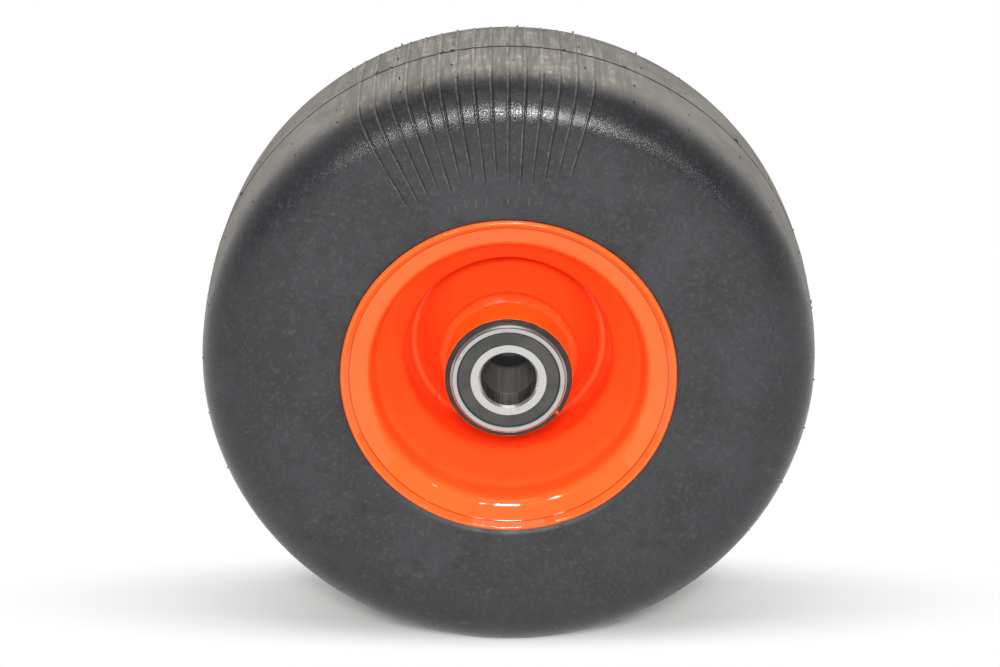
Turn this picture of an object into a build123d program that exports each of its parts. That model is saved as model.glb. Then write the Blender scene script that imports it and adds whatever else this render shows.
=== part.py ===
from build123d import *
import os
from math import asin, cos, pi, sin, sqrt

# Pneumatic wheel with a pressed steel rim and two sealed ball bearings.
# Millimetres, spin axis along Y through the wheel's centre, +Z up, front face to -Y.
# Sections are drawn as (distance from the centre plane, distance from the spin axis).

# Tyre
tyre_radius = 139.0
crown_arc_radius = 430.0
tread_half_width = 33.15
shoulder_radius = 20.0
crown_thickness = 8.0
sidewall_thickness = 5.2
inner_shoulder_radius = 16.0
inner_sidewall_radius = 14.0
bead_width = 8.0
bead_height = 10.0
bead_blend_height = 14.0
bead_heel_radius = 5.0
bead_toe_radius = 1.0
bead_blend_radius = 6.0
flange_gap = 1.0
foot_inset = 0.7

# Mould line, radial ribs over the top of the tyre
mould_line_width = 0.8
mould_line_height = 0.3
rib_count = 15
first_rib_angle = -28.2
rib_pitch = 3.13
rib_angle = 0.3
rib_height = 0.4
rib_root = 0.6
rib_foot_radius = 85.0

# Rim: one pressed half, measured on its outboard face, from the lip to the valley
rim_sheet = 2.3
rim_half_width = 50.6
lip_radius = 73.8
lip_rise = 2.7
lip_round = 0.9
lip_round_share = 0.4
crease_radius = 71.0
crease_bend = 1.5
flange_depth = 6.1
flange_root_radius = 62.0
flange_root_bend = 5.3
bead_seat_width = 10.0
bead_seat_drop = 2.0
bead_seat_bend = 5.0
well_half_width = 21.5
well_radius = 47.0
well_bend = 7.3
valley_radius = 43.5
valley_flat = 3.0
valley_bend = 1.8
cone_height = 26.0
cone_overrun_sheets = 2
seam_weld_radius = 3.1
seam_weld_drop = 0.7

# Hub tube and its weld beads
hub_wall = 2.5
hub_seat_step = 1.0
hub_end_chamfer = 0.5
bearing_proud = 2.3
hub_weld_leg = 3.0
hub_weld_toe = 2.4
hub_weld_bulge = 1.1

# Ball bearings and the spacer between their inner rings
width_over_bearings = 101.6
bearing_bore = 25.0
bearing_outside = 52.0
bearing_width = 15.0
bearing_chamfer = 1.0
ball_count = 9
ball_diameter = 7.938
ball_clearance = 0.03
race_conformity = 0.525
land_height = 2.35
seal_recess = 0.5
seal_thickness = 1.3
seal_bore_wall = 2.9
seal_groove_depth = 0.5
seal_lip_gap = 0.12
cage_clearance = 0.7
cage_pocket_gap = 0.1
cage_back = 0.9
cage_finger = 2.0
spacer_clearance = 0.2
spacer_wall = 3.2

# Valve, snapped into the sloping wall of the rear half at the bottom of the wheel
valve_slope_place = 0.66
valve_hole_radius = 5.65
valve_bulb_radius = 7.5
valve_bulb_height = 5.0
valve_bulb_straight_share = 1 / 3
valve_bulb_top_radius = 5.2
valve_lip_radius = 6.5
valve_lip_gap = 0.6
valve_lip_height = 3.0
valve_neck_radius = 5.9
valve_rubber_length = 13.5
valve_rubber_end_radius = 4.9
insert_radius = 2.9
insert_passage_radius = 1.6
thread_radius = 3.85
thread_length = 8.5
core_chamber_radius = 2.1
core_chamber_depth = 15.5
core_length = 11.0
core_recess = 1.0
pin_radius = 0.6
pin_clearance = 0.25
pin_disc_radius = 1.4
pin_disc_height = 1.0
pin_rest_gap = 0.1
cap_wall = 1.15
cap_clearance = 0.1
cap_length = 10.3
cap_rest_gap = 0.4
cap_edge_round = 0.8
cap_flute_count = 16
cap_flute_radius = 0.45
cap_flute_length = 7.0

FRONT = -1
REAR = 1
HALFWAY = 0.5
ENDS = {"front": FRONT, "rear": REAR}


def left_normal(start, end):
    """Unit normal on the left of the line from start to end."""
    along = (Vector(*end) - Vector(*start)).normalized()
    return Vector(-along.Y, along.X)


def left_offset(points, distance):
    """An open outline moved to its left by a distance, its corners still sharp."""
    normals = [left_normal(start, end) for start, end in zip(points, points[1:])]
    before = [normals[0], *normals]
    after = [*normals, normals[-1]]
    moved = []
    for point, first, second in zip(points, before, after):
        shift = (first + second) * (distance / (1 + first.dot(second)))
        moved.append((point[0] + shift.X, point[1] + shift.Y))
    return moved


def between(start, end, share):
    """The point a share of the way from start to end."""
    return tuple(a + (b - a) * share for a, b in zip(start, end))


def on_side(side, points):
    """Section points placed in front of or behind the centre plane."""
    return [(side * axial, radial) for axial, radial in points]


def save(builder, name):
    """Labels a finished piece and writes its STEP file."""
    builder.part.label = name
    export_step(builder.part, f"parts/{name}.step")


os.makedirs("parts", exist_ok=True)

# Places that several pieces share
bearing_face = width_over_bearings / 2
bearing_middle = bearing_face - bearing_width / 2
bearing_back = bearing_face - bearing_width
hub_radius = bearing_outside / 2 + hub_wall
hub_end = bearing_face - bearing_proud

# Rim outline from the hub to the lip: the outboard face, then the tyre side of the sheet
lip = (rim_half_width, lip_radius)
crease = (rim_half_width - lip_rise, crease_radius)
flange_root = (rim_half_width - flange_depth, flange_root_radius)
seat_edge = (flange_root[0] - bead_seat_width, flange_root_radius - bead_seat_drop)
well_edge = (well_half_width, well_radius)
valley_outer = (rim_sheet, valley_radius + valley_flat / 2)
valley_inner = (rim_sheet, valley_radius - valley_flat / 2)
cone_at_hub = (cone_height, hub_radius)
cone_rise = valley_inner[1] - hub_radius
cone_start = between(cone_at_hub, valley_inner, -cone_overrun_sheets * rim_sheet / cone_rise)
rim_face = [cone_start, valley_inner, valley_outer, well_edge, seat_edge, flange_root, crease, lip]
rim_back = left_offset(rim_face, rim_sheet)
rim_face_bends = [valley_bend, valley_bend, well_bend, bead_seat_bend, flange_root_bend, crease_bend]
back_signs = [1, 1, -1, 1, -1, 1]
rim_back_bends = [bend + sign * rim_sheet for bend, sign in zip(rim_face_bends, back_signs)]
seat_edge_back, flange_root_back, crease_back, lip_back = rim_back[-4:]


def draw_rim_section(side, mode=Mode.ADD):
    """The section of one pressed half, still running past the hub's surface."""
    with BuildLine() as outline:
        face = FilletPolyline(*on_side(side, rim_face), radius=rim_face_bends)
        back = FilletPolyline(*on_side(side, rim_back), radius=rim_back_bends)
        Line(face @ 0, back @ 0)
        Line(face @ 1, back @ 1)
    make_face(outline.edges(), mode=mode)


# Valve frame: origin on the rim's outboard face, Y out along the stem
valve_seat = between(well_edge, seat_edge, valve_slope_place)
valve_out = left_normal(seat_edge, well_edge)
valve_origin = (0, valve_seat[0], -valve_seat[1])
valve_direction = (0, valve_out.X, -valve_out.Y)
valve_plane = Plane(valve_origin, x_dir=(1, 0, 0), z_dir=(0, valve_out.Y, valve_out.X))
valve_axis = Axis(valve_origin, valve_direction)
valve_hole_plane = Plane(valve_origin, x_dir=(1, 0, 0), z_dir=valve_direction)

# Rim halves
for end, side in ENDS.items():
    with BuildPart() as rim_half:
        with BuildSketch(Plane.YZ):
            draw_rim_section(side)
        revolve(axis=Axis.Y)
        with BuildSketch(Plane.XZ):
            Circle(hub_radius)
        extrude(amount=rim_half_width, both=True, mode=Mode.SUBTRACT)
        lip_edges = rim_half.edges().filter_by(GeomType.CIRCLE).sort_by(SortBy.RADIUS)[-2:]
        fillet(lip_edges, radius=min(lip_round, rim_sheet * lip_round_share))
        if side == REAR:
            with BuildSketch(valve_hole_plane):
                Circle(valve_hole_radius)
            extrude(amount=2 * rim_sheet, both=True, mode=Mode.SUBTRACT)
    save(rim_half, f"rim_{end}_half")

# Airtight weld in the groove between the two halves, on the tyre side
with BuildPart() as seam_weld:
    with BuildSketch(Plane.YZ):
        with Locations((0, rim_back[2][1] - seam_weld_drop)):
            Circle(seam_weld_radius)
        draw_rim_section(FRONT, mode=Mode.SUBTRACT)
        draw_rim_section(REAR, mode=Mode.SUBTRACT)
    revolve(axis=Axis.Y)
save(seam_weld, "rim_seam_weld")

# Hub tube with a bearing seat in each end
seat_radius = bearing_outside / 2
hub_inside = [
    (-hub_end, seat_radius),
    (-bearing_back, seat_radius),
    (-bearing_back, seat_radius - hub_seat_step),
    (bearing_back, seat_radius - hub_seat_step),
    (bearing_back, seat_radius),
    (hub_end, seat_radius),
]
with BuildPart() as hub_tube:
    with BuildSketch(Plane.YZ):
        with BuildLine():
            Polyline(*hub_inside, (hub_end, hub_radius), (-hub_end, hub_radius), close=True)
        make_face()
    revolve(axis=Axis.Y)
    end_edges = hub_tube.edges().filter_by(GeomType.CIRCLE).sort_by(SortBy.RADIUS)[-2:]
    chamfer(end_edges, length=hub_end_chamfer)
save(hub_tube, "hub_tube")

# Weld beads where each dished centre meets the hub tube
cone_toe = between(cone_at_hub, valley_inner, hub_weld_toe / cone_rise)
tube_toe = (cone_height + hub_weld_leg, hub_radius)
bead_out = left_normal(tube_toe, cone_toe) * -hub_weld_bulge
bead_crest = between(tube_toe, cone_toe, HALFWAY)
bead_crest = (bead_crest[0] + bead_out.X, bead_crest[1] + bead_out.Y)
for end, side in ENDS.items():
    corner, toe, crest, heel = on_side(side, [cone_at_hub, cone_toe, bead_crest, tube_toe])
    with BuildPart() as hub_weld:
        with BuildSketch(Plane.YZ):
            with BuildLine():
                Line(heel, corner)
                Line(corner, toe)
                ThreePointArc(toe, crest, heel)
            make_face()
        revolve(axis=Axis.Y)
    save(hub_weld, f"{end}_hub_weld")

# Tyre outline: crown arc, shoulder arc and sidewall arc, each tangent to the last
tread_slope = asin(tread_half_width / crown_arc_radius)
crown_centre = (0, tyre_radius - crown_arc_radius)
shoulder_reach = crown_arc_radius - shoulder_radius
shoulder_height = crown_centre[1] + shoulder_reach * cos(tread_slope)
shoulder_centre = (shoulder_reach * sin(tread_slope), shoulder_height)
sidewall_top = shoulder_centre[0] + shoulder_radius
foot = (rim_half_width - foot_inset, lip_back[1] + flange_gap)
foot_drop = shoulder_centre[1] - foot[1]
sidewall_inset = sidewall_top - foot[0]
sidewall_radius = (foot_drop**2 + sidewall_inset**2) / (2 * sidewall_inset)
sidewall_centre = (sidewall_top - sidewall_radius, shoulder_centre[1])


def arc_point(centre, radius, angle):
    """The point at an angle, in radians, from straight out towards the front or rear."""
    return (centre[0] + radius * sin(angle), centre[1] + radius * cos(angle))


def draw_skin(growth, start_axial, end_radius):
    """Half the tyre's skin, moved out by growth, and its first and last points."""
    crown = crown_arc_radius + growth
    start_angle = asin(start_axial / crown)
    crown_angles = [start_angle, (start_angle + tread_slope) / 2, tread_slope]
    shoulder_angles = [tread_slope, (tread_slope + pi / 2) / 2, pi / 2]
    end_angle = pi / 2 + asin((sidewall_centre[1] - end_radius) / sidewall_radius)
    sidewall_angles = [pi / 2, (pi / 2 + end_angle) / 2, end_angle]
    crown_arc = ThreePointArc(*[arc_point(crown_centre, crown, angle) for angle in crown_angles])
    shoulder = shoulder_radius + growth
    ThreePointArc(*[arc_point(shoulder_centre, shoulder, angle) for angle in shoulder_angles])
    wall = sidewall_radius + growth
    wall_arc = ThreePointArc(*[arc_point(sidewall_centre, wall, angle) for angle in sidewall_angles])
    return crown_arc @ 0, wall_arc @ 1


# Tyre: an open casing whose beads sit on the rim's seats and against its flanges
seat_slope = (flange_root_back[1] - seat_edge_back[1]) / (flange_root_back[0] - seat_edge_back[0])
toe_axial = flange_root_back[0] - bead_width
toe = (toe_axial, flange_root_back[1] - bead_width * seat_slope)
bead_top = (toe_axial, toe[1] + bead_height)
inner_wall = sidewall_top - sidewall_thickness
wall_foot = (inner_wall, bead_top[1] + bead_blend_height)
inner_crown = tyre_radius - crown_thickness
liner = [
    (0, inner_crown),
    (inner_wall, inner_crown),
    wall_foot,
    bead_top,
    toe,
    flange_root_back,
    crease_back,
]
liner_bends = [
    inner_shoulder_radius,
    inner_sidewall_radius,
    bead_blend_radius,
    bead_toe_radius,
    bead_heel_radius,
]
with BuildPart() as tyre:
    with BuildSketch(Plane.YZ):
        with BuildLine():
            skin_start, skin_foot = draw_skin(0, mould_line_width / 2, foot[1])
            inside = FilletPolyline(*liner, radius=liner_bends)
            Line(inside @ 1, skin_foot)
            mould_top = skin_start.Y + mould_line_height
            Polyline(skin_start, (skin_start.X, mould_top), (0, mould_top))
            mirror(about=Plane.YZ)
        make_face()
    revolve(axis=Axis.Y)
    rib_turns = [first_rib_angle + number * rib_pitch - rib_angle / 2 for number in range(rib_count)]
    with BuildSketch(*[Plane.YZ.rotated((0, turn, 0)) for turn in rib_turns]):
        with BuildLine():
            outer_end = draw_skin(rib_height, 0, rib_foot_radius)[1]
            inner_end = draw_skin(-rib_root, 0, rib_foot_radius)[1]
            Line(outer_end, inner_end)
            mirror(about=Plane.YZ)
        make_face()
    revolve(axis=Axis.Y, revolution_arc=rib_angle)
save(tyre, "tyre")

# Bearing sections, measured from the bearing's own middle plane
ball_radius = ball_diameter / 2
pitch_radius = (bearing_bore + bearing_outside) / 4
race_radius = race_conformity * ball_diameter
race_shift = race_radius - ball_radius - ball_clearance
inner_land = pitch_radius - land_height
outer_land = pitch_radius + land_height
race_half_width = sqrt(race_radius**2 - (land_height + race_shift) ** 2)
half_bearing = bearing_width / 2
seal_bore = bearing_outside / 2 - seal_bore_wall
seal_outer = half_bearing - seal_recess
seal_inner = seal_outer - seal_thickness


def draw_ring(middle, race_edge, race_bottom, outline):
    """A bearing ring's section: half an outline, its mirror image and the ball race."""
    half = [(race_half_width, race_edge), *outline]
    right = [(middle + axial, radial) for axial, radial in half]
    left = [(middle - axial, radial) for axial, radial in half]
    with BuildLine() as section:
        Polyline(*right, *reversed(left))
        ThreePointArc(left[0], (middle, race_bottom), right[0])
    make_face(section.edges())


outer_ring_outline = [
    (seal_inner, outer_land),
    (seal_inner, seal_bore + seal_groove_depth),
    (seal_outer, seal_bore + seal_groove_depth),
    (seal_outer, seal_bore),
    (half_bearing, seal_bore),
    (half_bearing, bearing_outside / 2 - bearing_chamfer),
    (half_bearing - bearing_chamfer, bearing_outside / 2),
]
inner_ring_outline = [
    (half_bearing, inner_land),
    (half_bearing, bearing_bore / 2 + bearing_chamfer),
    (half_bearing - bearing_chamfer, bearing_bore / 2),
]

for end, side in ENDS.items():
    middle = side * bearing_middle
    ball_plane = Plane((0, middle, 0), x_dir=(1, 0, 0), z_dir=(0, side, 0))

    with BuildPart() as outer_ring:
        with BuildSketch(Plane.YZ):
            draw_ring(middle, outer_land, pitch_radius + ball_radius + ball_clearance, outer_ring_outline)
        revolve(axis=Axis.Y)
    save(outer_ring, f"{end}_bearing_outer_ring")

    with BuildPart() as inner_ring:
        with BuildSketch(Plane.YZ):
            draw_ring(middle, inner_land, pitch_radius - ball_radius - ball_clearance, inner_ring_outline)
        revolve(axis=Axis.Y)
    save(inner_ring, f"{end}_bearing_inner_ring")

    with BuildPart(ball_plane) as balls:
        with PolarLocations(pitch_radius, ball_count):
            Sphere(ball_radius)
    save(balls, f"{end}_bearing_balls")

    # Snap-in cage: a closed ring behind the balls, with fingers between them
    cage_span = [-ball_radius - cage_back, cage_finger]
    with BuildPart(ball_plane) as cage:
        with BuildSketch(ball_plane.offset(cage_span[0])):
            Circle(outer_land - cage_clearance)
            Circle(inner_land + cage_clearance, mode=Mode.SUBTRACT)
        extrude(amount=cage_span[1] - cage_span[0])
        with PolarLocations(pitch_radius, ball_count):
            Sphere(ball_radius + cage_pocket_gap, mode=Mode.SUBTRACT)
    save(cage, f"{end}_bearing_cage")

    for name, direction in (("outer", side), ("inner", -side)):
        seal_face = middle + direction * seal_outer
        seal_back = middle + direction * seal_inner
        lip_radius_inside = inner_land + seal_lip_gap
        with BuildPart() as seal:
            with BuildSketch(Plane.YZ):
                with BuildLine():
                    Polyline(
                        (seal_face, lip_radius_inside),
                        (seal_back, lip_radius_inside),
                        (seal_back, seal_bore + seal_groove_depth),
                        (seal_face, seal_bore + seal_groove_depth),
                        close=True,
                    )
                make_face()
            revolve(axis=Axis.Y)
        save(seal, f"{end}_bearing_{name}_seal")

# Spacer sleeve that holds the inner rings apart on the axle
spacer_bore = bearing_bore / 2 + spacer_clearance
with BuildPart() as spacer:
    with BuildSketch(Plane.XZ):
        Circle(spacer_bore + spacer_wall)
        Circle(spacer_bore, mode=Mode.SUBTRACT)
    extrude(amount=bearing_back, both=True)
save(spacer, "spacer_sleeve")


def draw_turned(points):
    """A turned piece's half section on the valve's plane, as (radius, height) corners."""
    with BuildLine() as outline:
        Polyline(*points, close=True)
    make_face(outline.edges())


# Valve heights along the stem, from the rim's outboard face
bulb_base = -rim_sheet
bulb_end = bulb_base - valve_bulb_height
stem_top = valve_rubber_length + thread_length
core_top = stem_top - core_recess
core_bottom = core_top - core_length
chamber_bottom = stem_top - core_chamber_depth

with BuildPart() as valve_stem:
    with BuildSketch(valve_plane):
        draw_turned([
            (insert_radius, bulb_end),
            (valve_bulb_top_radius, bulb_end),
            (valve_bulb_radius, bulb_base - valve_bulb_height * valve_bulb_straight_share),
            (valve_bulb_radius, bulb_base),
            (valve_hole_radius, bulb_base),
            (valve_hole_radius, valve_lip_gap),
            (valve_lip_radius, valve_lip_gap),
            (valve_neck_radius, valve_lip_height),
            (valve_rubber_end_radius, valve_rubber_length),
            (insert_radius, valve_rubber_length),
        ])
    revolve(axis=valve_axis)
save(valve_stem, "valve_stem")

with BuildPart() as valve_insert:
    with BuildSketch(valve_plane):
        draw_turned([
            (insert_passage_radius, bulb_end),
            (insert_radius, bulb_end),
            (insert_radius, valve_rubber_length),
            (thread_radius, valve_rubber_length),
            (thread_radius, stem_top),
            (core_chamber_radius, stem_top),
            (core_chamber_radius, chamber_bottom),
            (insert_passage_radius, chamber_bottom),
        ])
    revolve(axis=valve_axis)
save(valve_insert, "valve_insert")

with BuildPart() as valve_core:
    with BuildSketch(valve_plane):
        draw_turned([
            (pin_radius + pin_clearance, core_bottom),
            (core_chamber_radius, core_bottom),
            (core_chamber_radius, core_top),
            (pin_radius + pin_clearance, core_top),
        ])
    revolve(axis=valve_axis)
save(valve_core, "valve_core")

with BuildPart() as valve_pin:
    disc_top = core_bottom - pin_rest_gap
    with BuildSketch(valve_plane):
        draw_turned([
            (0, disc_top - pin_disc_height),
            (pin_disc_radius, disc_top - pin_disc_height),
            (pin_disc_radius, disc_top),
            (pin_radius, disc_top),
            (pin_radius, stem_top),
            (0, stem_top),
        ])
    revolve(axis=valve_axis)
save(valve_pin, "valve_pin")

# Screw cap with grip flutes
cap_bore = thread_radius + cap_clearance
cap_outside = cap_bore + cap_wall
cap_base = valve_rubber_length + cap_rest_gap
cap_top = cap_base + cap_length
cap_roof = stem_top + cap_rest_gap
with BuildPart() as valve_cap:
    with BuildSketch(valve_plane):
        draw_turned([
            (cap_bore, cap_base),
            (cap_outside, cap_base),
            (cap_outside, cap_top),
            (0, cap_top),
            (0, cap_roof),
            (cap_bore, cap_roof),
        ])
    revolve(axis=valve_axis)
    cap_edge = valve_cap.edges().filter_by(GeomType.CIRCLE).sort_by(valve_axis)[-1:]
    fillet(cap_edge, radius=cap_edge_round)
    with BuildSketch(valve_hole_plane.offset(cap_base)):
        with PolarLocations(cap_outside, cap_flute_count):
            Circle(cap_flute_radius)
    extrude(amount=cap_flute_length, mode=Mode.SUBTRACT)
save(valve_cap, "valve_cap")
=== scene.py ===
import math
import random

import bpy
from mathutils import Matrix, Vector, noise


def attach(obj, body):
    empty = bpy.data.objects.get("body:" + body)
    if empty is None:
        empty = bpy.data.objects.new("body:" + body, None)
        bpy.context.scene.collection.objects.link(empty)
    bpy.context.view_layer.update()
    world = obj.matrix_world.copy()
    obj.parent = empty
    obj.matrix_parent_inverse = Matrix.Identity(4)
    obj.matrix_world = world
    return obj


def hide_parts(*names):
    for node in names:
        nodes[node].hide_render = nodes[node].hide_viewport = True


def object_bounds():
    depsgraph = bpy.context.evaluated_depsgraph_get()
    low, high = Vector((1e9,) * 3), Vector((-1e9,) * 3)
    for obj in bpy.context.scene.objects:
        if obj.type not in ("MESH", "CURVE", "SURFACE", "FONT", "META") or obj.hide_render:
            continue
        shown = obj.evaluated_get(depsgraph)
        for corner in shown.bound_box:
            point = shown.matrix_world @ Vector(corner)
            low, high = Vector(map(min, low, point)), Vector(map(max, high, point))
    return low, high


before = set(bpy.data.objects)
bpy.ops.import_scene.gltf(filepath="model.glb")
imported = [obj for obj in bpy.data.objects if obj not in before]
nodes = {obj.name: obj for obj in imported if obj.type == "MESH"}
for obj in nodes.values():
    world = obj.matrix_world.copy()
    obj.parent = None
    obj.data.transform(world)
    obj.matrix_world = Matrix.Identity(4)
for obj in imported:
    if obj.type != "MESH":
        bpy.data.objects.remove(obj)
cad_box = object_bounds()

MM = 0.001
FULL_TURN = 360.0
ENDS = {"front": -1, "rear": 1}
scene = bpy.context.scene
scene.view_settings.view_transform = "Standard"

# Tyre sizes, in millimetres and degrees, as in the solid
TYRE_RADIUS = 139.0
CROWN_ARC = 430.0
TREAD_HALF_WIDTH = 33.15
SHOULDER_ARC = 20.0
SIDEWALL_FOOT = (49.9, 76.4)
LINER_WALL = [(0, 131.0), (46.42, 131.0), (46.42, 86.4)]
LINER_BEAD = [(34.8, 72.4), (34.8, 62.4), (42.8, 64.0), (45.92, 72.26)]
LINER = LINER_WALL + LINER_BEAD
LINER_BENDS = [16.0, 14.0, 6.0, 1.0, 5.0]
RIB_COUNT = 15
FIRST_RIB = -28.2
RIB_PITCH = 3.13


def rounded(points, bends, step=8.0):
    """An open outline whose inner corners are rounded, as a list of points."""
    line = [Vector(points[0])]
    for before, corner, after, bend in zip(points, points[1:], points[2:], bends):
        corner = Vector(corner)
        back = (Vector(before) - corner).normalized()
        ahead = (Vector(after) - corner).normalized()
        half = back.angle(ahead) / 2
        centre = corner + (back + ahead).normalized() * (bend / math.sin(half))
        first = corner + back * (bend / math.tan(half)) - centre
        last = corner + ahead * (bend / math.tan(half)) - centre
        count = max(2, round(math.degrees(math.pi - 2 * half) / step))
        turn = first.angle_signed(last)
        for number in range(count + 1):
            arm = first.copy()
            arm.rotate(Matrix.Rotation(-turn * number / count, 2))
            line.append(centre + arm)
    line.append(Vector(points[-1]))
    return line


def place(axial, radial, turn):
    """A point of the wheel from its section place and its turn clockwise from the top, in metres."""
    angle = math.radians(turn)
    return Vector((radial * math.sin(angle), axial, radial * math.cos(angle))) * MM


def soup_mesh(name, vertices, faces):
    """One smooth mesh object from gathered corners and faces."""
    mesh = bpy.data.meshes.new(name)
    mesh.from_pydata(vertices, [], faces)
    mesh.validate()
    mesh.shade_smooth()
    piece = bpy.data.objects.new(name, mesh)
    scene.collection.objects.link(piece)
    return piece


def ring_mesh(name, sections):
    """A closed surface through sections of equal length that follow each other round the wheel."""
    columns = len(sections)
    rows = len(sections[0])
    vertices = [point for section in sections for point in section]
    faces = []
    for column in range(columns):
        here = column * rows
        there = (column + 1) % columns * rows
        for row in range(rows):
            after = (row + 1) % rows
            faces.append((here + row, there + row, there + after, here + after))
    return soup_mesh(name, vertices, faces)


# Tyre skin: half of the outline from the crown to the foot, with its outward normals
tread_slope = math.asin(TREAD_HALF_WIDTH / CROWN_ARC)
shoulder_reach = CROWN_ARC - SHOULDER_ARC
shoulder_centre = (
    shoulder_reach * math.sin(tread_slope),
    TYRE_RADIUS - CROWN_ARC + shoulder_reach * math.cos(tread_slope),
)
sidewall_top = shoulder_centre[0] + SHOULDER_ARC
foot_drop = shoulder_centre[1] - SIDEWALL_FOOT[1]
foot_inset = sidewall_top - SIDEWALL_FOOT[0]
sidewall_arc = (foot_drop**2 + foot_inset**2) / (2 * foot_inset)


def arc_points(centre, radius, angles):
    """Points and normals of an arc at angles from straight out."""
    for angle in angles:
        normal = (math.sin(angle), math.cos(angle))
        yield (centre[0] + radius * normal[0], centre[1] + radius * normal[1]), normal


def spread(start, end, count):
    """Evenly spaced values after start, up to end."""
    return [start + (end - start) * (number + 1) / count for number in range(count)]


MOULD_ROWS = [0.0, 0.2, 0.42, 0.6, 1.0]
TREAD_ROWS = 12
SHOULDER_ROWS = 24
SIDEWALL_ROWS = 34
tread_rows = MOULD_ROWS + spread(MOULD_ROWS[-1], TREAD_HALF_WIDTH, TREAD_ROWS)
foot_angle = math.pi / 2 + math.asin(foot_drop / sidewall_arc)
crown_centre = (0, TYRE_RADIUS - CROWN_ARC)
crown_angles = [math.asin(row / CROWN_ARC) for row in tread_rows]
sidewall_centre = (sidewall_top - sidewall_arc, shoulder_centre[1])
half_skin = [
    *arc_points(crown_centre, CROWN_ARC, crown_angles),
    *arc_points(shoulder_centre, SHOULDER_ARC, spread(tread_slope, math.pi / 2, SHOULDER_ROWS)),
    *arc_points(sidewall_centre, sidewall_arc, spread(math.pi / 2, foot_angle, SIDEWALL_ROWS)),
]
front_skin = [((-a, r), (-na, nr)) for (a, r), (na, nr) in reversed(half_skin)]
skin = front_skin[:-1] + half_skin
half_liner = [(point.x, point.y) for point in rounded(LINER, LINER_BENDS)]
liner = list(reversed(half_liner)) + [(-a, r) for a, r in half_liner[1:]]

# Turns of the tyre's columns: even ones, and close ones that carry the ribs
RIB_OFFSETS = [-0.56, -0.38, -0.25, -0.04, 0.06, 0.16, 0.30, 0.42, 0.58]
RIB_SHAPE = [0.0, 0.0, 1.0, 1.0, 0.0, -1.0, -1.0, 0.0, 0.0]
RIB_HEIGHT = 0.34
RIB_GROOVE = 0.30
RIB_KEEP = 0.75
EVEN_COLUMNS = 240
rib_turns = [FIRST_RIB + number * RIB_PITCH for number in range(RIB_COUNT)]
columns = []
for number in range(EVEN_COLUMNS):
    turn = number * FULL_TURN / EVEN_COLUMNS - FULL_TURN / 2
    if min(abs(turn - rib) for rib in rib_turns) > RIB_KEEP:
        columns.append((turn, None, 0.0))
for number, rib in enumerate(rib_turns):
    for offset, share in zip(RIB_OFFSETS, RIB_SHAPE):
        columns.append((rib + offset, number, share))
columns.sort(key=lambda column: column[0])

RIB_FADE = 5.0
RIB_END_RADIUS = 93.0
RIB_DASH = (83.0, 87.0)
RIB_WANDER = 0.06
TREAD_GROOVE = 0.25
CHALK_TURN = -5.0
CHALK_SPREAD = 34.0


def rib_strength(number, axial, radial):
    """How far a rib stands out on the skin: it fades low on the sidewall and ends in a dash."""
    wear = 0.8 + 0.4 * noise.noise(Vector((number * 7.3, axial * 0.11, radial * 0.07)))
    if abs(axial) < TREAD_HALF_WIDTH:
        return wear
    end = RIB_END_RADIUS + 7.0 * noise.noise(Vector((number * 3.1, 0.5, 2.5)))
    if number < 2:
        end = RIB_DASH[1] + 3.0
    if radial > end:
        return wear * min(1.0, (radial - end) / RIB_FADE)
    if RIB_DASH[0] < radial < RIB_DASH[1] and 3 < number < 12:
        return 1.0
    return 0.0


def rib_value(axial, radial, rib, share):
    """Rib above zero, or the groove beside it below zero, from one to minus one."""
    if rib is None:
        return 0.0
    value = share * rib_strength(rib, axial, radial)
    if value < 0 and abs(axial) < TREAD_HALF_WIDTH:
        value *= TREAD_GROOVE
    if value < 0 and radial < RIB_DASH[1]:
        value = 0.0
    return value


def skin_height(axial, radial, turn, value):
    """Height of the moulded detail over the plain skin."""
    angle = math.radians(turn)
    spot = Vector((radial * math.sin(angle), axial, radial * math.cos(angle)))
    height = 0.10 * noise.noise(spot * 0.035) + 0.035 * noise.noise(spot * 0.12) - 0.06
    height += value * (RIB_HEIGHT if value > 0 else RIB_GROOVE)
    if abs(axial) < MOULD_ROWS[2]:
        broken = 0.65 + 0.6 * noise.noise(Vector((turn * 0.35, 1.0, 4.0)))
        height += 0.22 * max(0.1, min(1.0, broken))
    return height


sections = []
rib_values = []
chalk_values = []
for turn, rib, share in columns:
    section = []
    chalk = max(0.0, 1.0 - (abs(turn - CHALK_TURN) / CHALK_SPREAD) ** 4)
    chalk_values += [chalk] * (len(skin) + len(liner))
    for (axial, radial), normal in skin:
        value = rib_value(axial, radial, rib, share)
        height = skin_height(axial, radial, turn, value)
        shift = 0.0
        if rib is not None:
            shift = RIB_WANDER * noise.noise(Vector((rib * 5.7, axial * 0.06, radial * 0.05)))
        section.append(place(axial + normal[0] * height, radial + normal[1] * height, turn + shift))
        rib_values.append(value)
    for axial, radial in liner:
        section.append(place(axial, radial, turn))
        rib_values.append(0.0)
    sections.append(section)
tyre = ring_mesh("tyre_casing", sections)
for name, values in (("rib", rib_values), ("chalk", chalk_values)):
    tyre.data.attributes.new(name, "FLOAT", "POINT").data.foreach_set("value", values)


# Vent pins left by the mould, and torn flash along the mould seam
VENT_ROWS = 32
VENT_FIRST = 1.7
VENT_PLACES = [37.5, 10.0, -20.0, -36.5]
VENT_RADIUS = 0.42
VENT_SIDES = 7
VENT_TALL_TURN = 30.0
VENT_TALL = (0.5, 1.1)
VENT_SHORT = (0.12, 0.35)
SIDE_VENTS = [(80.0, 24, 3.0), (119.0, 16, 9.0)]
SIDE_VENT_RADIUS = 0.5
SIDE_VENT_HEIGHT = 0.3
maker = random.Random(11)


def skin_at(axial):
    """The skin's radius and outward normal at a distance from the centre plane."""
    best = min(half_skin, key=lambda item: abs(item[0][0] - abs(axial)))
    (_, radial), (along, out) = best
    return radial, math.copysign(along, axial), out


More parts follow.
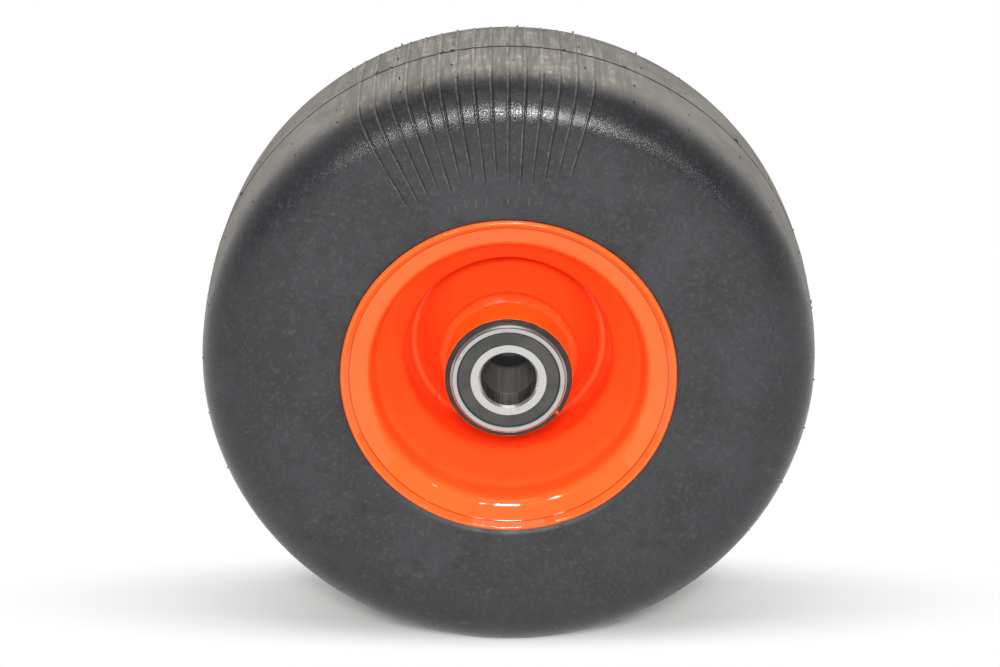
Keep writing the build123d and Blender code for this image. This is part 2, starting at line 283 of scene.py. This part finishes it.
def skin_axial(radial):
    """The sidewall's distance from the centre plane at a radius."""
    drop = shoulder_centre[1] - radial
    return sidewall_top - sidewall_arc + math.sqrt(sidewall_arc**2 - drop**2)


def pin_mesh(vertices, faces, base, direction, radius, height):
    """Adds a short tapered pin with a rounded end."""
    side = direction.orthogonal().normalized()
    other = direction.cross(side)
    start = len(vertices)
    for level, width in ((-0.4, 1.25), (0.15, 1.0), (0.8, 0.75), (1.0, 0.4)):
        for number in range(VENT_SIDES):
            angle = math.tau * number / VENT_SIDES
            reach = (side * math.cos(angle) + other * math.sin(angle)) * radius * width
            vertices.append(base + direction * (height * level) + reach)
    for level in range(3):
        for number in range(VENT_SIDES):
            after = (number + 1) % VENT_SIDES
            low = start + level * VENT_SIDES
            high = low + VENT_SIDES
            faces.append((low + number, low + after, high + after, high + number))
    faces.append(tuple(start + number for number in reversed(range(VENT_SIDES))))
    faces.append(tuple(start + 3 * VENT_SIDES + number for number in range(VENT_SIDES)))


pin_vertices = []
pin_faces = []
for row in range(VENT_ROWS):
    for axial in VENT_PLACES:
        turn = VENT_FIRST + row * FULL_TURN / VENT_ROWS + maker.uniform(-1.0, 1.0)
        spot = axial + maker.uniform(-1.5, 1.5)
        radial, along, out = skin_at(spot)
        base = place(spot, radial, turn)
        direction = (place(spot + along, radial + out, turn) - base).normalized()
        lean = Vector((maker.uniform(-0.3, 0.3), maker.uniform(-0.3, 0.3), maker.uniform(-0.3, 0.3)))
        near_top = abs((turn + FULL_TURN / 2) % FULL_TURN - FULL_TURN / 2) < VENT_TALL_TURN
        height = maker.uniform(*(VENT_TALL if near_top else VENT_SHORT)) * MM
        direction = (direction + lean).normalized()
        if direction.z > 0:
            height = min(height, (cad_box[1][2] - base.z - VENT_RADIUS * MM) / direction.z)
        pin_mesh(pin_vertices, pin_faces, base, direction, VENT_RADIUS * MM, height)
for radial, count, first in SIDE_VENTS:
    for number in range(count):
        for side in ENDS.values():
            turn = first + number * FULL_TURN / count + maker.uniform(-1.5, 1.5)
            near = radial + maker.uniform(-1.0, 1.0)
            axial = side * skin_axial(near)
            base = place(axial, near, turn)
            out = Vector((0, side, 0))
            pin_mesh(pin_vertices, pin_faces, base, out, SIDE_VENT_RADIUS * MM, SIDE_VENT_HEIGHT * MM)
vent_pins = soup_mesh("tyre_vent_pins", pin_vertices, pin_faces)

FLASH_TURNS = [-24.7, -22.0, -12.1, -10.3, 10.2, 21.7, 47.0, 83.0, 131.0, 170.0, 214.0, 251.0, 300.0]
FLASH_STEPS = 7
FLASH_HALF_WIDTH = 0.35
flash_vertices = []
flash_faces = []
for middle in FLASH_TURNS:
    width = maker.uniform(0.9, 1.8)
    tall = maker.uniform(0.6, 1.1)
    lean = maker.uniform(-1.8, 1.8)
    start = len(flash_vertices)
    for step in range(FLASH_STEPS):
        share = step / (FLASH_STEPS - 1)
        turn = middle + width * (share - 0.5)
        top = tall * math.sin(math.pi * share) * maker.uniform(0.6, 1.0) + 0.12
        for side in (-FLASH_HALF_WIDTH, FLASH_HALF_WIDTH):
            flash_vertices.append(place(side, TYRE_RADIUS - 0.3, turn))
            flash_vertices.append(place(side * 0.5 + lean * top * 0.4, TYRE_RADIUS + top, turn))
    for step in range(FLASH_STEPS - 1):
        here = start + step * 4
        there = here + 4
        flash_faces.append((here, here + 1, there + 1, there))
        flash_faces.append((here + 1, here + 3, there + 3, there + 1))
        flash_faces.append((here + 3, here + 2, there + 2, there + 3))
        flash_faces.append((here + 2, here, there, there + 2))
    last = start + (FLASH_STEPS - 1) * 4
    flash_faces.append((start, start + 2, start + 3, start + 1))
    flash_faces.append((last, last + 1, last + 3, last + 2))
seam_flash = soup_mesh("tyre_seam_flash", flash_vertices, flash_faces)

# Hub welds: beads with the ripples of the torch
WELD_CORNER = (26.0, 28.5)
WELD_TUBE_TOE = (29.0, 28.5)
WELD_CONE_TOE = (21.79, 30.9)
WELD_BULGE = 1.7
WELD_COLUMNS = 240
WELD_RIPPLES = 46
WELD_STEPS = 13


def weld_section(side, turn):
    """Points round the bead's section at a turn: its face, rippled, and its buried root."""
    drift = 1.6 * noise.noise(Vector((turn * 0.05, side, 0.3)))
    phase = math.tau * WELD_RIPPLES * turn / FULL_TURN + drift
    ripple = 0.5 + 0.5 * math.sin(phase)
    swell = 1.0 + 0.35 * noise.noise(Vector((turn * 0.04, side * 3.0, 7.7)))
    ragged = 0.5 * noise.noise(Vector((turn * 0.22, side * 2.0, 1.9)))
    tube_toe = Vector(WELD_TUBE_TOE) + Vector((ragged, 0.0))
    cone_toe = Vector(WELD_CONE_TOE)
    across = cone_toe - tube_toe
    out = Vector((-across.y, across.x)).normalized()
    if out.y < 0:
        out = -out
    section = []
    for step in range(WELD_STEPS):
        share = step / (WELD_STEPS - 1)
        crown = math.sin(math.pi * share) ** 1.25
        point = tube_toe + across * share + out * (WELD_BULGE * swell * crown * (0.84 + 0.22 * ripple))
        section.append(place(side * point.x, point.y, turn))
    section.append(place(side * WELD_CORNER[0], WELD_CORNER[1] - 0.3, turn))
    return section


welds = {}
for end, side in ENDS.items():
    turns = [number * FULL_TURN / WELD_COLUMNS for number in range(WELD_COLUMNS)]
    welds[end] = ring_mesh(f"{end}_weld_bead", [weld_section(side, turn) for turn in turns])


def face_outward(piece):
    """Turns a closed mesh's faces outward."""
    bpy.context.view_layer.objects.active = piece
    piece.select_set(True)
    bpy.ops.object.mode_set(mode="EDIT")
    bpy.ops.mesh.select_all(action="SELECT")
    bpy.ops.mesh.normals_make_consistent(inside=False)
    bpy.ops.object.mode_set(mode="OBJECT")
    piece.select_set(False)


for piece in (tyre, vent_pins, seam_flash, *welds.values()):
    face_outward(piece)


# Materials
class Graph:
    """Short calls that add and link shader nodes in one tree."""

    def __init__(self, tree):
        self.tree = tree

    def add(self, kind, inputs=None, **settings):
        node = self.tree.nodes.new(kind)
        for name, value in settings.items():
            setattr(node, name, value)
        for name, value in (inputs or {}).items():
            socket = node.inputs[name]
            if isinstance(value, bpy.types.NodeSocket):
                self.tree.links.new(value, socket)
            else:
                socket.default_value = value
        return node

    def math(self, operation, first, second=0.0, clamp=False):
        inputs = {0: first, 1: second}
        return self.add("ShaderNodeMath", inputs, operation=operation, use_clamp=clamp).outputs[0]

    def vector(self, operation, first, second=(0, 0, 0), output="Vector"):
        inputs = {0: first, 1: second}
        return self.add("ShaderNodeVectorMath", inputs, operation=operation).outputs[output]

    def stretch(self, value, low, high, to_low=0.0, to_high=1.0):
        inputs = {"Value": value, "From Min": low, "From Max": high, "To Min": to_low, "To Max": to_high}
        return self.add("ShaderNodeMapRange", inputs, interpolation_type="SMOOTHSTEP").outputs["Result"]

    def link(self, value, socket):
        self.tree.links.new(value, socket)


class Finish(Graph):
    """A procedural material on one principled surface."""

    def __init__(self, name, **sockets):
        self.material = bpy.data.materials.new(name)
        self.material.use_nodes = True
        super().__init__(self.material.node_tree)
        self.surface = self.tree.nodes["Principled BSDF"]
        for socket, value in sockets.items():
            self.surface.inputs[socket.replace("_", " ")].default_value = value
        self.spot = self.add("ShaderNodeTexCoord").outputs["Object"]

    def noise(self, scale, detail=3.0, roughness=0.55, vector=None):
        inputs = {"Vector": vector or self.spot, "Scale": scale, "Detail": detail, "Roughness": roughness}
        return self.add("ShaderNodeTexNoise", inputs).outputs["Fac"]

    def near(self, spot, low, high):
        """One close to a spot, fading to nothing between two distances from it."""
        return self.stretch(self.vector("DISTANCE", self.spot, spot, "Value"), high, low)

    def scaled(self, x, y, z):
        return self.vector("MULTIPLY", self.spot, (x, y, z))

    def mix(self, share, first, second):
        return self.add("ShaderNodeMix", {0: share, 6: first, 7: second}, data_type="RGBA").outputs[2]

    def radius(self):
        return self.vector("LENGTH", self.scaled(1, 0, 1), output="Value")

    def axial(self):
        return self.add("ShaderNodeSeparateXYZ", {0: self.spot}).outputs["Y"]

    def rings(self, scale, detail=4.0):
        """Noise that changes only with the distance from the axle and along it."""
        near = self.math("MULTIPLY", self.radius(), scale)
        along = self.math("MULTIPLY", self.axial(), scale)
        vector = self.add("ShaderNodeCombineXYZ", {0: near, 1: along}).outputs[0]
        return self.noise(1.0, detail, vector=vector)

    def bump(self, height, strength, distance, base=None):
        inputs = {"Height": height, "Strength": strength, "Distance": distance}
        if base is not None:
            inputs["Normal"] = base
        return self.add("ShaderNodeBump", inputs).outputs["Normal"]

    def set(self, socket, value):
        self.link(value, self.surface.inputs[socket])


def tyre_rubber():
    """Satin black rubber: dusty tread, pitted shiny shoulders, ribs lightened by chalk on the tread and
    by a painted highlight on the sidewall, painted shade in the grooves beside them, dark seam and
    scuffs.
    """
    finish = Finish("tyre_rubber", Specular_IOR_Level=0.5)
    reach = finish.math("ABSOLUTE", finish.axial())
    radius = finish.radius()
    rib = finish.add("ShaderNodeAttribute", attribute_name="rib").outputs["Fac"]
    chalked = finish.add("ShaderNodeAttribute", attribute_name="chalk").outputs["Fac"]
    ridge_dust_and_highlight = finish.math("MAXIMUM", rib, 0.0)
    groove = finish.math("MULTIPLY", rib, -1.0, clamp=True)
    blotch = finish.noise(24.0, 5.0, 0.6)
    mottle = finish.noise(130.0, 6.0, 0.7)
    fine = finish.noise(520.0, 4.0, 0.65)
    grain = finish.noise(1900.0, 2.0, 0.5)
    streaks = finish.noise(1.0, 5.0, 0.6, finish.scaled(420.0, 26.0, 420.0))
    wander = finish.math("MULTIPLY", finish.noise(70.0, 4.0, 0.65), 0.006)
    on_tread = finish.stretch(finish.math("ADD", reach, wander), 0.0470, 0.0280)
    off_tread = finish.stretch(on_tread, 0.9, 0.2)
    shoulder = finish.math("MULTIPLY", finish.stretch(radius, 0.106, 0.122), off_tread)
    patches = finish.stretch(blotch, 0.35, 0.68)
    base = finish.mix(patches, (0.020, 0.020, 0.022, 1), (0.031, 0.031, 0.034, 1))
    base = finish.mix(finish.stretch(mottle, 0.48, 0.68, 0.0, 0.6), base, (0.011, 0.011, 0.012, 1))
    base = finish.mix(finish.stretch(fine, 0.50, 0.66, 0.0, 0.6), base, (0.052, 0.052, 0.056, 1))
    base = finish.mix(finish.math("MULTIPLY", shoulder, 0.3), base, (0.014, 0.014, 0.016, 1))
    cover = finish.stretch(finish.noise(48.0, 6.0, 0.7), 0.25, 0.6, 0.75, 1.0)
    dust = finish.math("MULTIPLY", on_tread, cover)
    cloudy = finish.stretch(blotch, 0.3, 0.7)
    plain = finish.mix(cloudy, (0.205, 0.190, 0.166, 1), (0.240, 0.223, 0.195, 1))
    wiped = finish.stretch(streaks, 0.38, 0.66)
    chalk = finish.mix(wiped, (0.168, 0.156, 0.136, 1), (0.268, 0.247, 0.216, 1))
    colour = finish.mix(dust, base, finish.mix(chalked, plain, chalk))
    powder = finish.math("MULTIPLY", on_tread, finish.stretch(finish.noise(190.0, 5.0, 0.7), 0.52, 0.64))
    streaked = finish.math("MULTIPLY", powder, finish.stretch(streaks, 0.46, 0.58))
    streaked = finish.math("MULTIPLY", streaked, chalked)
    colour = finish.mix(finish.math("MULTIPLY", streaked, 0.8), colour, (0.44, 0.37, 0.30, 1))
    # Rib ridges painted lighter: dust on the tread, a painted highlight on the sidewall
    rib_dust_and_highlight = finish.mix(on_tread, (0.090, 0.089, 0.088, 1), (0.38, 0.345, 0.30, 1))
    broken = finish.stretch(finish.noise(300.0, 4.0, 0.7), 0.36, 0.60, 0.15, 0.95)
    worn = finish.stretch(finish.noise(85.0, 4.0, 0.6), 0.40, 0.60)
    whole = finish.math("MAXIMUM", worn, finish.stretch(on_tread, 1.0, 0.3, 0.15, 1.0))
    kept = finish.math("MULTIPLY", broken, whole)
    colour = finish.mix(finish.math("MULTIPLY", ridge_dust_and_highlight, kept), colour, rib_dust_and_highlight)
    # Painted shade: the groove beside each rib is darkened
    colour = finish.mix(finish.math("MULTIPLY", groove, 0.8), colour, (0.006, 0.006, 0.007, 1))
    scuff = finish.stretch(finish.noise(150.0, 6.0, 0.75), 0.60, 0.72)
    colour = finish.mix(finish.math("MULTIPLY", scuff, 0.25), colour, (0.14, 0.138, 0.132, 1))
    ragged = finish.math("ADD", reach, finish.math("MULTIPLY", finish.noise(380.0, 4.0, 0.7), -0.0012))
    on_crown = finish.stretch(radius, 0.1375, 0.138)
    seam = finish.math("MULTIPLY", finish.stretch(ragged, 0.0006, 0.0), on_crown)
    seam = finish.math("MULTIPLY", seam, finish.stretch(finish.noise(160.0, 4.0), 0.32, 0.46, 0.5, 1.0))
    colour = finish.mix(seam, colour, (0.020, 0.017, 0.015, 1))
    finish.set("Base Color", colour)
    patch = finish.stretch(finish.noise(15.0, 3.0, 0.5), 0.36, 0.52, 0.4, 1.0)
    pits = finish.stretch(finish.noise(1500.0, 3.0, 0.65), 0.40, 0.70)
    pits = finish.math("MULTIPLY", pits, finish.math("MULTIPLY", shoulder, patch))
    rough = finish.stretch(mottle, 0.3, 0.7, 0.44, 0.58)
    rough = finish.math("ADD", rough, finish.math("MULTIPLY", pits, 0.22))
    rough = finish.math("SUBTRACT", rough, finish.math("MULTIPLY", shoulder, 0.29))
    dusty = finish.math("MULTIPLY", on_tread, 0.18)
    finish.set("Roughness", finish.math("ADD", rough, dusty, clamp=True))
    normal = finish.bump(pits, 0.17, 0.0004)
    normal = finish.bump(mottle, 0.07, 0.0010, normal)
    normal = finish.bump(fine, 0.07, 0.0006, normal)
    finish.set("Normal", finish.bump(grain, 0.06, 0.0003, normal))
    return finish.material


def flash_rubber():
    """Torn edges of rubber, darker than the dusty tread."""
    finish = Finish("flash_rubber", Roughness=0.6)
    worn = finish.noise(500.0, 4.0)
    colour = finish.mix(finish.stretch(worn, 0.4, 0.6), (0.02, 0.02, 0.02, 1), (0.07, 0.065, 0.06, 1))
    finish.set("Base Color", colour)
    finish.set("Normal", finish.bump(worn, 0.3, 0.0004))
    return finish.material


CREASE_SHADE_RADIUS = 0.0711


def orange_paint():
    """Glossy powder coat: slow waves, orange peel, faint random changes of tone, painted shade that makes
    the dish redder and darker than the flange, and a thin painted shade line at the fold of the lip.
    """
    finish = Finish("orange_paint", Coat_Weight=0.8, Coat_Roughness=0.03, Specular_IOR_Level=0.05)
    tone = finish.noise(35.0, 4.0, 0.6)
    # Painted shade: inside a radius of about 56 to 64 mm the dish is painted redder and darker than the
    # flange
    shaded_dish = finish.mix(finish.stretch(tone, 0.3, 0.7), (0.92, 0.072, 0.011, 1), (0.94, 0.082, 0.013, 1))
    flange = finish.mix(finish.stretch(tone, 0.3, 0.7), (0.93, 0.110, 0.015, 1), (0.95, 0.123, 0.017, 1))
    radius = finish.radius()
    colour = finish.mix(finish.stretch(radius, 0.056, 0.064), shaded_dish, flange)
    # Painted shade: a thin dark line along the fold at the lip
    crease_shade = finish.math("ABSOLUTE", finish.math("SUBTRACT", radius, CREASE_SHADE_RADIUS))
    crease_shade = finish.stretch(crease_shade, 0.00042, 0.00012)
    colour = finish.mix(finish.math("MULTIPLY", crease_shade, 0.75), colour, (0.30, 0.022, 0.003, 1))
    finish.set("Base Color", colour)
    finish.set("Roughness", finish.stretch(finish.noise(120.0, 4.0), 0.3, 0.7, 0.26, 0.38))
    normal = finish.bump(finish.noise(70.0, 2.0), 0.03, 0.004)
    normal = finish.bump(finish.noise(700.0, 2.0), 0.03, 0.0006, normal)
    finish.set("Normal", normal)
    normal = finish.bump(finish.noise(70.0, 2.0), 0.02, 0.004)
    finish.set("Coat Normal", finish.bump(finish.noise(420.0, 2.0), 0.02, 0.0006, normal))
    return finish.material


HUB_CHIP = (0.0216, -0.0485, -0.0166)


def hub_paint():
    """The hub tube: the same paint outside, bare dark steel on its ends and inside."""
    finish = Finish("hub_paint", Specular_IOR_Level=0.5)
    radius = finish.radius()
    reach = finish.math("ABSOLUTE", finish.axial())
    ragged = finish.math("MULTIPLY", finish.noise(260.0, 5.0), 0.0006)
    edge = finish.math("ADD", reach, ragged)
    bare_end = finish.stretch(edge, 0.0483, 0.0486)
    inside = finish.stretch(radius, 0.0279, 0.0277)
    bare = finish.math("MAXIMUM", bare_end, inside, clamp=True)
    worn = finish.noise(180.0, 6.0, 0.7)
    rubbed = finish.stretch(worn, 0.35, 0.65)
    steel = finish.mix(rubbed, (0.034, 0.026, 0.023, 1), (0.058, 0.044, 0.039, 1))
    chip = finish.near(HUB_CHIP, 0.0007, 0.0011)
    steel = finish.mix(chip, steel, (0.75, 0.09, 0.02, 1))
    finish.set("Base Color", finish.mix(bare, (0.95, 0.135, 0.011, 1), steel))
    finish.set("Metallic", finish.math("MULTIPLY", bare, 0.55))
    finish.set("Roughness", finish.stretch(bare, 0.0, 1.0, 0.17, 0.46))
    normal = finish.bump(finish.rings(2600.0), 0.10, 0.0003)
    finish.set("Normal", finish.bump(worn, 0.08, 0.0005, normal))
    return finish.material


def ground_steel(name, light, dark, low, high, groove=None):
    """Ground bearing steel: grinding rings, axial scratches in a bore, stains and a turned groove."""
    finish = Finish(name, Metallic=1.0)
    lines = finish.rings(5200.0, 5.0)
    scratches = finish.noise(1.0, 4.0, 0.6, finish.scaled(1500.0, 30.0, 1500.0))
    in_bore = finish.stretch(finish.radius(), 0.0128, 0.0126)
    stain = finish.noise(140.0, 5.0, 0.65)
    colour = finish.mix(finish.stretch(stain, 0.56, 0.74), light, dark)
    streak = finish.math("MULTIPLY", in_bore, finish.stretch(scratches, 0.42, 0.60, 0.55, 0.0))
    colour = finish.mix(streak, colour, (0.22, 0.205, 0.19, 1))
    if groove:
        ring = finish.math("ABSOLUTE", finish.math("SUBTRACT", finish.radius(), groove))
        colour = finish.mix(finish.stretch(ring, 0.00022, 0.00008), colour, (0.08, 0.075, 0.07, 1))
    finish.set("Base Color", colour)
    finish.set("Roughness", finish.stretch(lines, 0.3, 0.7, low, high))
    finish.set("Normal", finish.bump(lines, 0.16, 0.0002))
    return finish.material


SEAL_GROOVE = 0.0226


def seal_rubber():
    """Grey-black nitrile over a steel disc: fine turning rings, wiped dust."""
    finish = Finish("seal_rubber", Specular_IOR_Level=0.5)
    smear = finish.noise(110.0, 5.0, 0.6)
    radius = finish.radius()
    apart = finish.math("ABSOLUTE", finish.math("SUBTRACT", radius, SEAL_GROOVE))
    groove = finish.stretch(apart, 0.00018, 0.00034)
    dusty = finish.stretch(smear, 0.3, 0.7)
    colour = finish.mix(dusty, (0.032, 0.031, 0.030, 1), (0.054, 0.052, 0.049, 1))
    colour = finish.mix(groove, (0.008, 0.008, 0.008, 1), colour)
    finish.set("Base Color", colour)
    finish.set("Roughness", finish.stretch(smear, 0.3, 0.7, 0.38, 0.52))
    normal = finish.bump(finish.rings(3000.0), 0.14, 0.0003)
    finish.set("Normal", finish.bump(groove, 0.5, 0.0003, normal))
    return finish.material


def turned_metal(name, light, dark, low, high, metallic=1.0):
    """Turned or drawn metal with long tool lines and tarnish."""
    finish = Finish(name, Metallic=metallic)
    tarnish = finish.noise(160.0, 5.0, 0.6)
    lines = finish.rings(2400.0)
    finish.set("Base Color", finish.mix(finish.stretch(tarnish, 0.35, 0.65), light, dark))
    finish.set("Roughness", finish.stretch(tarnish, 0.3, 0.7, low, high))
    finish.set("Normal", finish.bump(lines, 0.15, 0.0003))
    return finish.material


def shaded_spacer_steel():
    """The spacer tube: drawn steel, grey near its ends, with painted shade that makes its middle black
    and rougher deep in the bore.
    """
    finish = Finish("spacer_steel", Metallic=0.5)
    # Painted shade: the middle of the tube, deep in the bore, is painted black
    middle_shade = finish.stretch(finish.math("ABSOLUTE", finish.axial()), 0.004, 0.010)
    drawn = finish.noise(1.0, 3.0, 0.5, finish.scaled(700.0, 20.0, 700.0))
    lines = finish.stretch(drawn, 0.35, 0.65)
    steel = finish.mix(lines, (0.17, 0.158, 0.147, 1), (0.23, 0.213, 0.197, 1))
    finish.set("Base Color", finish.mix(middle_shade, (0.003, 0.0025, 0.002, 1), steel))
    finish.set("Roughness", finish.stretch(middle_shade, 0.0, 1.0, 0.60, 0.48))
    finish.set("Normal", finish.bump(drawn, 0.08, 0.0003))
    return finish.material


def moulded(name, light, dark, low, high):
    """Moulded rubber or plastic with a fine grain and worn sheen."""
    finish = Finish(name, Specular_IOR_Level=0.45)
    wear = finish.noise(240.0, 5.0, 0.6)
    grain = finish.noise(2600.0, 3.0)
    finish.set("Base Color", finish.mix(finish.stretch(wear, 0.35, 0.65), light, dark))
    finish.set("Roughness", finish.stretch(wear, 0.3, 0.7, low, high))
    finish.set("Normal", finish.bump(grain, 0.15, 0.0003))
    return finish.material


rubber = tyre_rubber()
flash = flash_rubber()
paint = orange_paint()
finishes = {
    "tyre": rubber,
    "rim_front_half": paint,
    "rim_rear_half": paint,
    "front_hub_weld": paint,
    "rear_hub_weld": paint,
    "rim_seam_weld": turned_metal("weld_steel", (0.30, 0.27, 0.25, 1), (0.12, 0.10, 0.09, 1), 0.35, 0.6),
    "hub_tube": hub_paint(),
    "spacer_sleeve": shaded_spacer_steel(),
    "valve_stem": moulded("valve_rubber", (0.022, 0.022, 0.023, 1), (0.045, 0.045, 0.045, 1), 0.45, 0.6),
    "valve_cap": moulded("cap_plastic", (0.012, 0.012, 0.013, 1), (0.03, 0.03, 0.03, 1), 0.3, 0.5),
}
brass = turned_metal("brass", (0.66, 0.45, 0.19, 1), (0.42, 0.27, 0.11, 1), 0.25, 0.42)
for name in ("valve_insert", "valve_core", "valve_pin"):
    finishes[name] = brass
OUTER_RING_GROOVE = 0.0251
outer_light = (0.58, 0.57, 0.555, 1)
outer_dark = (0.44, 0.43, 0.415, 1)
outer_steel = ground_steel("outer_ring_steel", outer_light, outer_dark, 0.26, 0.40, OUTER_RING_GROOVE)
inner_steel = ground_steel("inner_ring_steel", (0.68, 0.67, 0.65, 1), (0.52, 0.51, 0.49, 1), 0.22, 0.36)
ball_steel = ground_steel("ball_steel", (0.80, 0.80, 0.80, 1), (0.68, 0.68, 0.69, 1), 0.05, 0.12)
cage_plastic = moulded("cage_plastic", (0.42, 0.34, 0.22, 1), (0.52, 0.43, 0.29, 1), 0.45, 0.6)
seal = seal_rubber()
for end in ENDS:
    finishes[f"{end}_bearing_outer_ring"] = outer_steel
    finishes[f"{end}_bearing_inner_ring"] = inner_steel
    finishes[f"{end}_bearing_balls"] = ball_steel
    finishes[f"{end}_bearing_cage"] = cage_plastic
    finishes[f"{end}_bearing_outer_seal"] = seal
    finishes[f"{end}_bearing_inner_seal"] = seal


def dress(piece, material):
    """Gives a piece one material."""
    piece.data.materials.clear()
    piece.data.materials.append(material)


for name, material in finishes.items():
    dress(nodes[name], material)
dress(tyre, rubber)
dress(vent_pins, flash)
dress(seam_flash, flash)
for weld in welds.values():
    dress(weld, paint)

# What rides on the wheel, and what it stands for
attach(tyre, "wheel")
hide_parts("tyre")
for piece in (vent_pins, seam_flash):
    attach(piece, "wheel")
for end, weld in welds.items():
    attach(weld, "wheel")
    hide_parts(f"{end}_hub_weld")

# Floor: pale, white where no shadow falls
FLOOR_HALF = 12.0
FLOOR_COLOUR = (0.62, 0.62, 0.62, 1)
FLOOR_FADE = (0.12, 0.27)
FLOOR_GLOW = 0.04
FLOOR_MIDDLE = (0.0, 0.005, 0.0)
FLOOR_REACH = (1.0, 5.0, 0.0)
floor_mesh = bpy.data.meshes.new("floor")
floor_height = cad_box[0][2]
corners = [(x, y, floor_height) for x, y in ((-1, -1), (1, -1), (1, 1), (-1, 1))]
floor_mesh.from_pydata([(x * FLOOR_HALF, y * FLOOR_HALF, z) for x, y, z in corners], [], [(0, 1, 2, 3)])
floor = bpy.data.objects.new("floor", floor_mesh)
scene.collection.objects.link(floor)


def floor_paint():
    """A white sweep that keeps the wheel's shadow and turns plain white away from it."""
    material = bpy.data.materials.new("floor_paint")
    material.use_nodes = True
    material.node_tree.nodes.clear()
    graph = Graph(material.node_tree)
    spot = graph.add("ShaderNodeTexCoord").outputs["Object"]
    apart = graph.vector("SUBTRACT", spot, FLOOR_MIDDLE)
    away = graph.vector("LENGTH", graph.vector("MULTIPLY", apart, FLOOR_REACH), output="Value")
    path = graph.add("ShaderNodeLightPath").outputs
    matte = graph.add("ShaderNodeBsdfDiffuse", {"Color": FLOOR_COLOUR})
    lift = graph.math("MULTIPLY", path["Is Camera Ray"], FLOOR_GLOW)
    glow = graph.add("ShaderNodeEmission", {"Strength": lift})
    lit = graph.add("ShaderNodeAddShader", {0: matte.outputs[0], 1: glow.outputs[0]})
    white = graph.add("ShaderNodeEmission", {"Strength": 1.0})
    seen = graph.math("MAXIMUM", path["Is Camera Ray"], path["Is Glossy Ray"])
    share = graph.math("MULTIPLY", graph.stretch(away, *FLOOR_FADE), seen)
    both = graph.add("ShaderNodeMixShader", {0: share, 1: lit.outputs[0], 2: white.outputs[0]})
    graph.add("ShaderNodeOutputMaterial", {"Surface": both.outputs[0]})
    return material


floor_mesh.materials.append(floor_paint())

# World: soft light from above and behind, white to the camera; gloss shows a sweep and a dim room
AMBIENT = (0.20, 1.00)
REAR_LIGHT = 1.1
DIM_ROOM = 0.22
world = bpy.data.worlds.new("studio")
scene.world = world
world.use_nodes = True
world.node_tree.nodes.clear()
sky = Graph(world.node_tree)
direction = sky.add("ShaderNodeTexCoord").outputs["Generated"]
heading = sky.add("ShaderNodeSeparateXYZ", {0: direction}).outputs
behind = sky.stretch(heading["Y"], -0.30, 0.25)
low = sky.stretch(heading["Z"], 0.85, 0.50)
sweep = sky.stretch(sky.math("MULTIPLY", behind, low), 0.0, 1.0, DIM_ROOM, 1.0)
path = sky.add("ShaderNodeLightPath").outputs
dome = sky.stretch(heading["Z"], -0.1, 1.0, *AMBIENT)
dome = sky.math("ADD", dome, sky.stretch(heading["Y"], 0.0, 0.9, 0.0, REAR_LIGHT))
level = sky.add("ShaderNodeMix", {0: path["Is Glossy Ray"], 2: dome, 3: sweep}).outputs[0]
level = sky.math("MAXIMUM", level, path["Is Camera Ray"])
background = sky.add("ShaderNodeBackground", {"Strength": level})
sky.add("ShaderNodeOutputWorld", {"Surface": background.outputs[0]})


# Lamps: a bright key in front, smaller ones beside it for the gleams, and a broad soft one above
def lamp(name, spot, width, height, radiance):
    """A rectangular lamp at a place, facing the wheel, of a brightness in times white."""
    light = bpy.data.lights.new(name, "AREA")
    light.shape = "RECTANGLE"
    light.size = width
    light.size_y = height
    light.energy = radiance * math.pi * width * height
    holder = bpy.data.objects.new(name, light)
    holder.location = spot
    holder.rotation_euler = (-Vector(spot)).to_track_quat("-Z", "Y").to_euler()
    scene.collection.objects.link(holder)


lamp("key", (0.0, -1.45, 0.77), 0.24, 0.26, 92.0)
lamp("key_right", (0.27, -1.42, 0.77), 0.14, 0.18, 42.0)
lamp("key_left", (-0.48, -1.40, 0.72), 0.11, 0.14, 78.0)
lamp("far_right", (0.80, -1.30, 0.66), 0.08, 0.11, 40.0)
lamp("front_top", (0.0, -0.75, 1.5), 1.0, 0.5, 1.5)

# Camera at the photograph's place
CAMERA_SPOT = (0.0, -1.2156, 0.5079)
CAMERA_AIM = (0.0, 0.0, 0.001408)
CAMERA_YAW = 0.003
camera_data = bpy.data.cameras.new("camera")
camera_data.lens = 102.96
camera_data.sensor_width = 36.0
camera = bpy.data.objects.new("camera", camera_data)
facing = (Vector(CAMERA_AIM) - Vector(CAMERA_SPOT)).to_track_quat("-Z", "Y").to_matrix()
facing = facing @ Matrix.Rotation(CAMERA_YAW, 3, "Y")
camera.matrix_world = Matrix.Translation(CAMERA_SPOT) @ facing.to_4x4()
scene.collection.objects.link(camera)
scene.camera = camera
